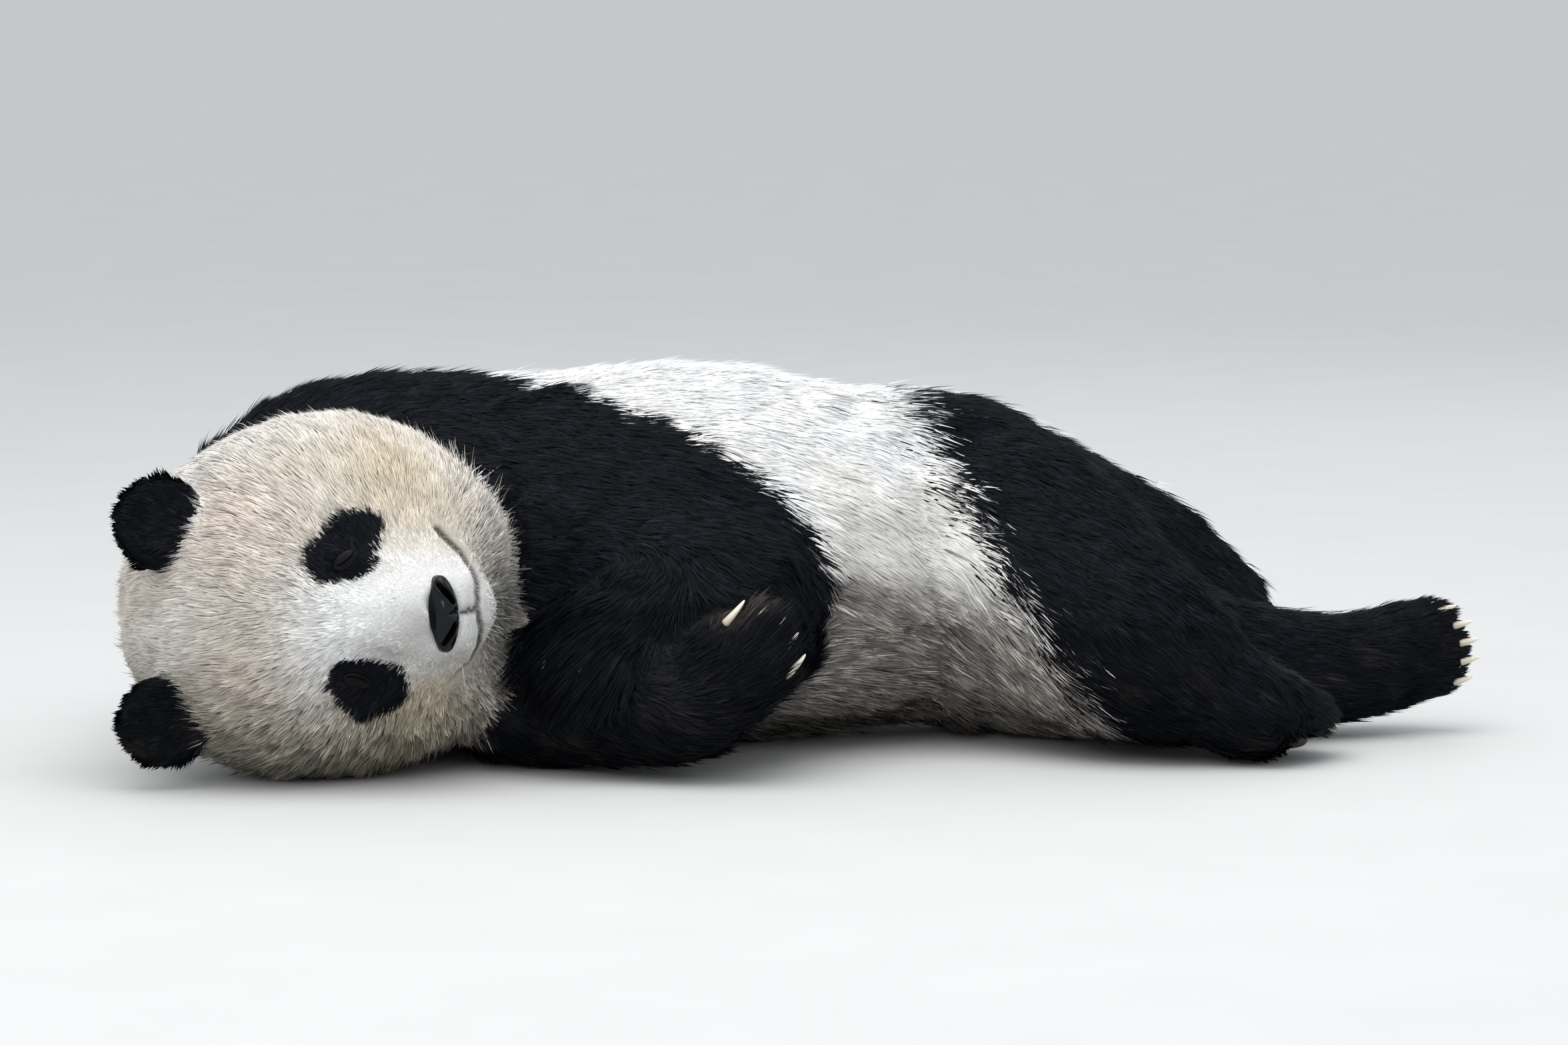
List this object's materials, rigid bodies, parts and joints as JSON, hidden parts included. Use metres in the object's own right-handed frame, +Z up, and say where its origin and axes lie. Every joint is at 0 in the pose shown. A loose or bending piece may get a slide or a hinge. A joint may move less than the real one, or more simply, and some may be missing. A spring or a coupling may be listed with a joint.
{
  "type": "giant panda",
  "caption": "Life-size still model of a giant panda asleep on its right side, head bent to the chest, one hind leg stretched back.",
  "frame": {"origin": "middle of the flat under the barrel of the trunk, on the floor", "axes": "+X from the head to the rump, +Z up from the floor, -Y the belly side"},
  "size_m": [1.3684, 0.7156, 0.3832],
  "materials": {
    "coat_white": "dense creamy white fur, greyer on the belly",
    "coat_black": "dense blue-black fur with a soft sheen",
    "eyelid": "thin dark skin of a closed eyelid",
    "nose_skin": "moist pebbled dark slate skin",
    "claw_horn": "ivory horn with fine lengthwise grain"
  },
  "bodies": {
    "root": {"head": "coat_white", "neck": "coat_white", "trunk": "coat_white", "tail": "coat_white", "upper_arm_left": "coat_black", "upper_arm_right": "coat_black", "forearm_left": "coat_black", "forearm_right": "coat_black", "hand_left": "coat_black", "hand_right": "coat_black", "thigh_left": "coat_black", "thigh_right": "coat_black", "shank_left": "coat_black", "shank_right": "coat_black", "foot_left": "coat_black", "foot_right": "coat_black", "ear_left": "coat_black", "ear_right": "coat_black", "eye_left": "eyelid", "eye_right": "eyelid", "nose": "nose_skin", "hand_left_claw_1": "claw_horn", "hand_left_claw_2": "claw_horn", "hand_left_claw_3": "claw_horn", "hand_left_claw_4": "claw_horn", "hand_left_claw_5": "claw_horn", "hand_right_claw_1": "claw_horn", "hand_right_claw_2": "claw_horn", "hand_right_claw_3": "claw_horn", "hand_right_claw_4": "claw_horn", "hand_right_claw_5": "claw_horn", "foot_left_claw_1": "claw_horn", "foot_left_claw_2": "claw_horn", "foot_left_claw_3": "claw_horn", "foot_left_claw_4": "claw_horn", "foot_left_claw_5": "claw_horn", "foot_right_claw_1": "claw_horn", "foot_right_claw_2": "claw_horn", "foot_right_claw_3": "claw_horn", "foot_right_claw_4": "claw_horn", "foot_right_claw_5": "claw_horn"}
  },
  "joints": []
}
